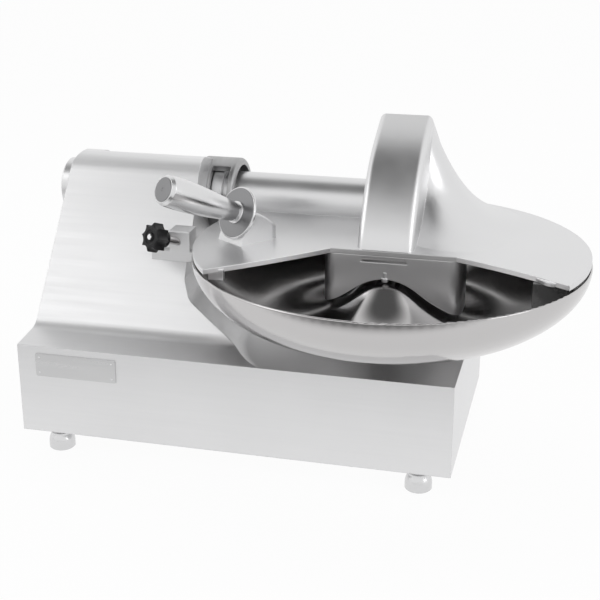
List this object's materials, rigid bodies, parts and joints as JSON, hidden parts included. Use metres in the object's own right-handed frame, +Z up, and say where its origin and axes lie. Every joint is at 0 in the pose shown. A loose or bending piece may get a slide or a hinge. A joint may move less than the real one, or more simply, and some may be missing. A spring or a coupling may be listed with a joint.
{
  "type": "meat bowl cutter",
  "caption": "Bench-top meat bowl cutter: long low base with a side tower, turning steel bowl, lift-up cover over the knives, attachment hub.",
  "frame": {"origin": "On the table under the middle of the overall box, midway between the hub's end and the bowl's far rim.", "axes": "+X runs from the tower to the bowl along the knife shaft, -Y is the front with the bare plate, +Z is up."},
  "size_m": [0.718, 0.482, 0.4105],
  "materials": {
    "satin_steel": "satin stainless sheet",
    "cast_aluminium": "polished aluminium casting",
    "polished_steel": "polished stainless steel",
    "ground_steel": "ground and sharpened steel",
    "dark_plastic": "moulded black plastic",
    "white_plastic": "food-grade plastic",
    "turned_metal": "turned aluminium",
    "dark_steel": "turned steel face",
    "belt_rubber": "moulded belt",
    "motor_paint": "grey machine enamel",
    "drive_steel": "machined iron and steel",
    "start_green": "green push button",
    "stop_red": "red push button"
  },
  "bodies": {
    "base": {"housing": "satin_steel", "bottom_plate": "satin_steel", "foot_front_left": "turned_metal", "foot_front_right": "turned_metal", "foot_rear_left": "turned_metal", "foot_rear_right": "turned_metal", "nameplate": "polished_steel", "attachment_hub": "cast_aluminium", "hub_screws": "polished_steel", "hinge_collar": "satin_steel", "hinge_flange": "satin_steel", "shaft_housing": "polished_steel", "shaft_bearings": "polished_steel", "drive_plate": "motor_paint", "motor": "motor_paint", "drive_belts": "belt_rubber", "gearbox": "motor_paint", "spindle_housing": "cast_aluminium", "latch_bracket": "satin_steel", "control_station": "satin_steel", "control_box": "dark_plastic", "cable_gland": "dark_plastic"},
    "bowl_turntable": {"bowl": "polished_steel", "bowl_spindle": "polished_steel", "drive_pins": "polished_steel"},
    "knife_rotor": {"knife_shaft": "polished_steel", "knife_pulley": "drive_steel", "knife_left": "ground_steel", "knife_right": "ground_steel", "knife_spacer_inner": "polished_steel", "knife_spacer_middle": "polished_steel", "knife_nut": "polished_steel"},
    "motor_rotor": {"motor_shaft": "drive_steel", "motor_pulley": "drive_steel", "shaft_coupling": "drive_steel", "worm_shaft": "drive_steel"},
    "lift_cover": {"cover": "cast_aluminium", "knife_guard": "cast_aluminium", "scraper": "white_plastic", "guard_disc": "dark_steel", "handle": "turned_metal"},
    "latch": {"lock_knob": "dark_plastic", "knob_stud": "polished_steel"},
    "start": {"button_start": "start_green"},
    "stop": {"button_stop": "stop_red"}
  },
  "joints": [
    {"name": "motor_spin", "type": "hinge", "parent": "base", "child": "motor_rotor", "pos_m": [-0.2, 0.048, 0.086], "axis": [1, 0, 0], "continuous": true},
    {"name": "knife_spin", "type": "hinge", "parent": "base", "child": "knife_rotor", "pos_m": [0, 0.137, 0.286], "axis": [1, 0, 0], "continuous": true},
    {"name": "bowl_spin", "type": "hinge", "parent": "base", "child": "bowl_turntable", "pos_m": [0.118, 0, 0.2], "axis": [0, 0, 1], "continuous": true},
    {"name": "cover_hinge", "type": "hinge", "parent": "base", "child": "lift_cover", "pos_m": [0, 0.137, 0.286], "axis": [-1, 0, 0], "range_deg": [0, 70]},
    {"name": "knob_turn", "type": "hinge", "parent": "base", "child": "latch", "pos_m": [-0.153, -0.01245, 0.26225], "axis": [-0.501, -0.8018, 0.3256], "range_deg": [0, 180]},
    {"name": "start_press", "type": "slide", "parent": "base", "child": "start", "axis": [1, 0, 0], "range_m": [0, 0.003], "stiffness_N_per_m": 400, "springref_m": -0.002},
    {"name": "stop_press", "type": "slide", "parent": "base", "child": "stop", "axis": [1, 0, 0], "range_m": [0, 0.003], "stiffness_N_per_m": 400, "springref_m": -0.002}
  ],
  "couplings": [
    {"joint": "knife_spin", "follows": "motor_spin", "ratio": 1.1429},
    {"joint": "bowl_spin", "follows": "motor_spin", "ratio": 0.016667}
  ]
}
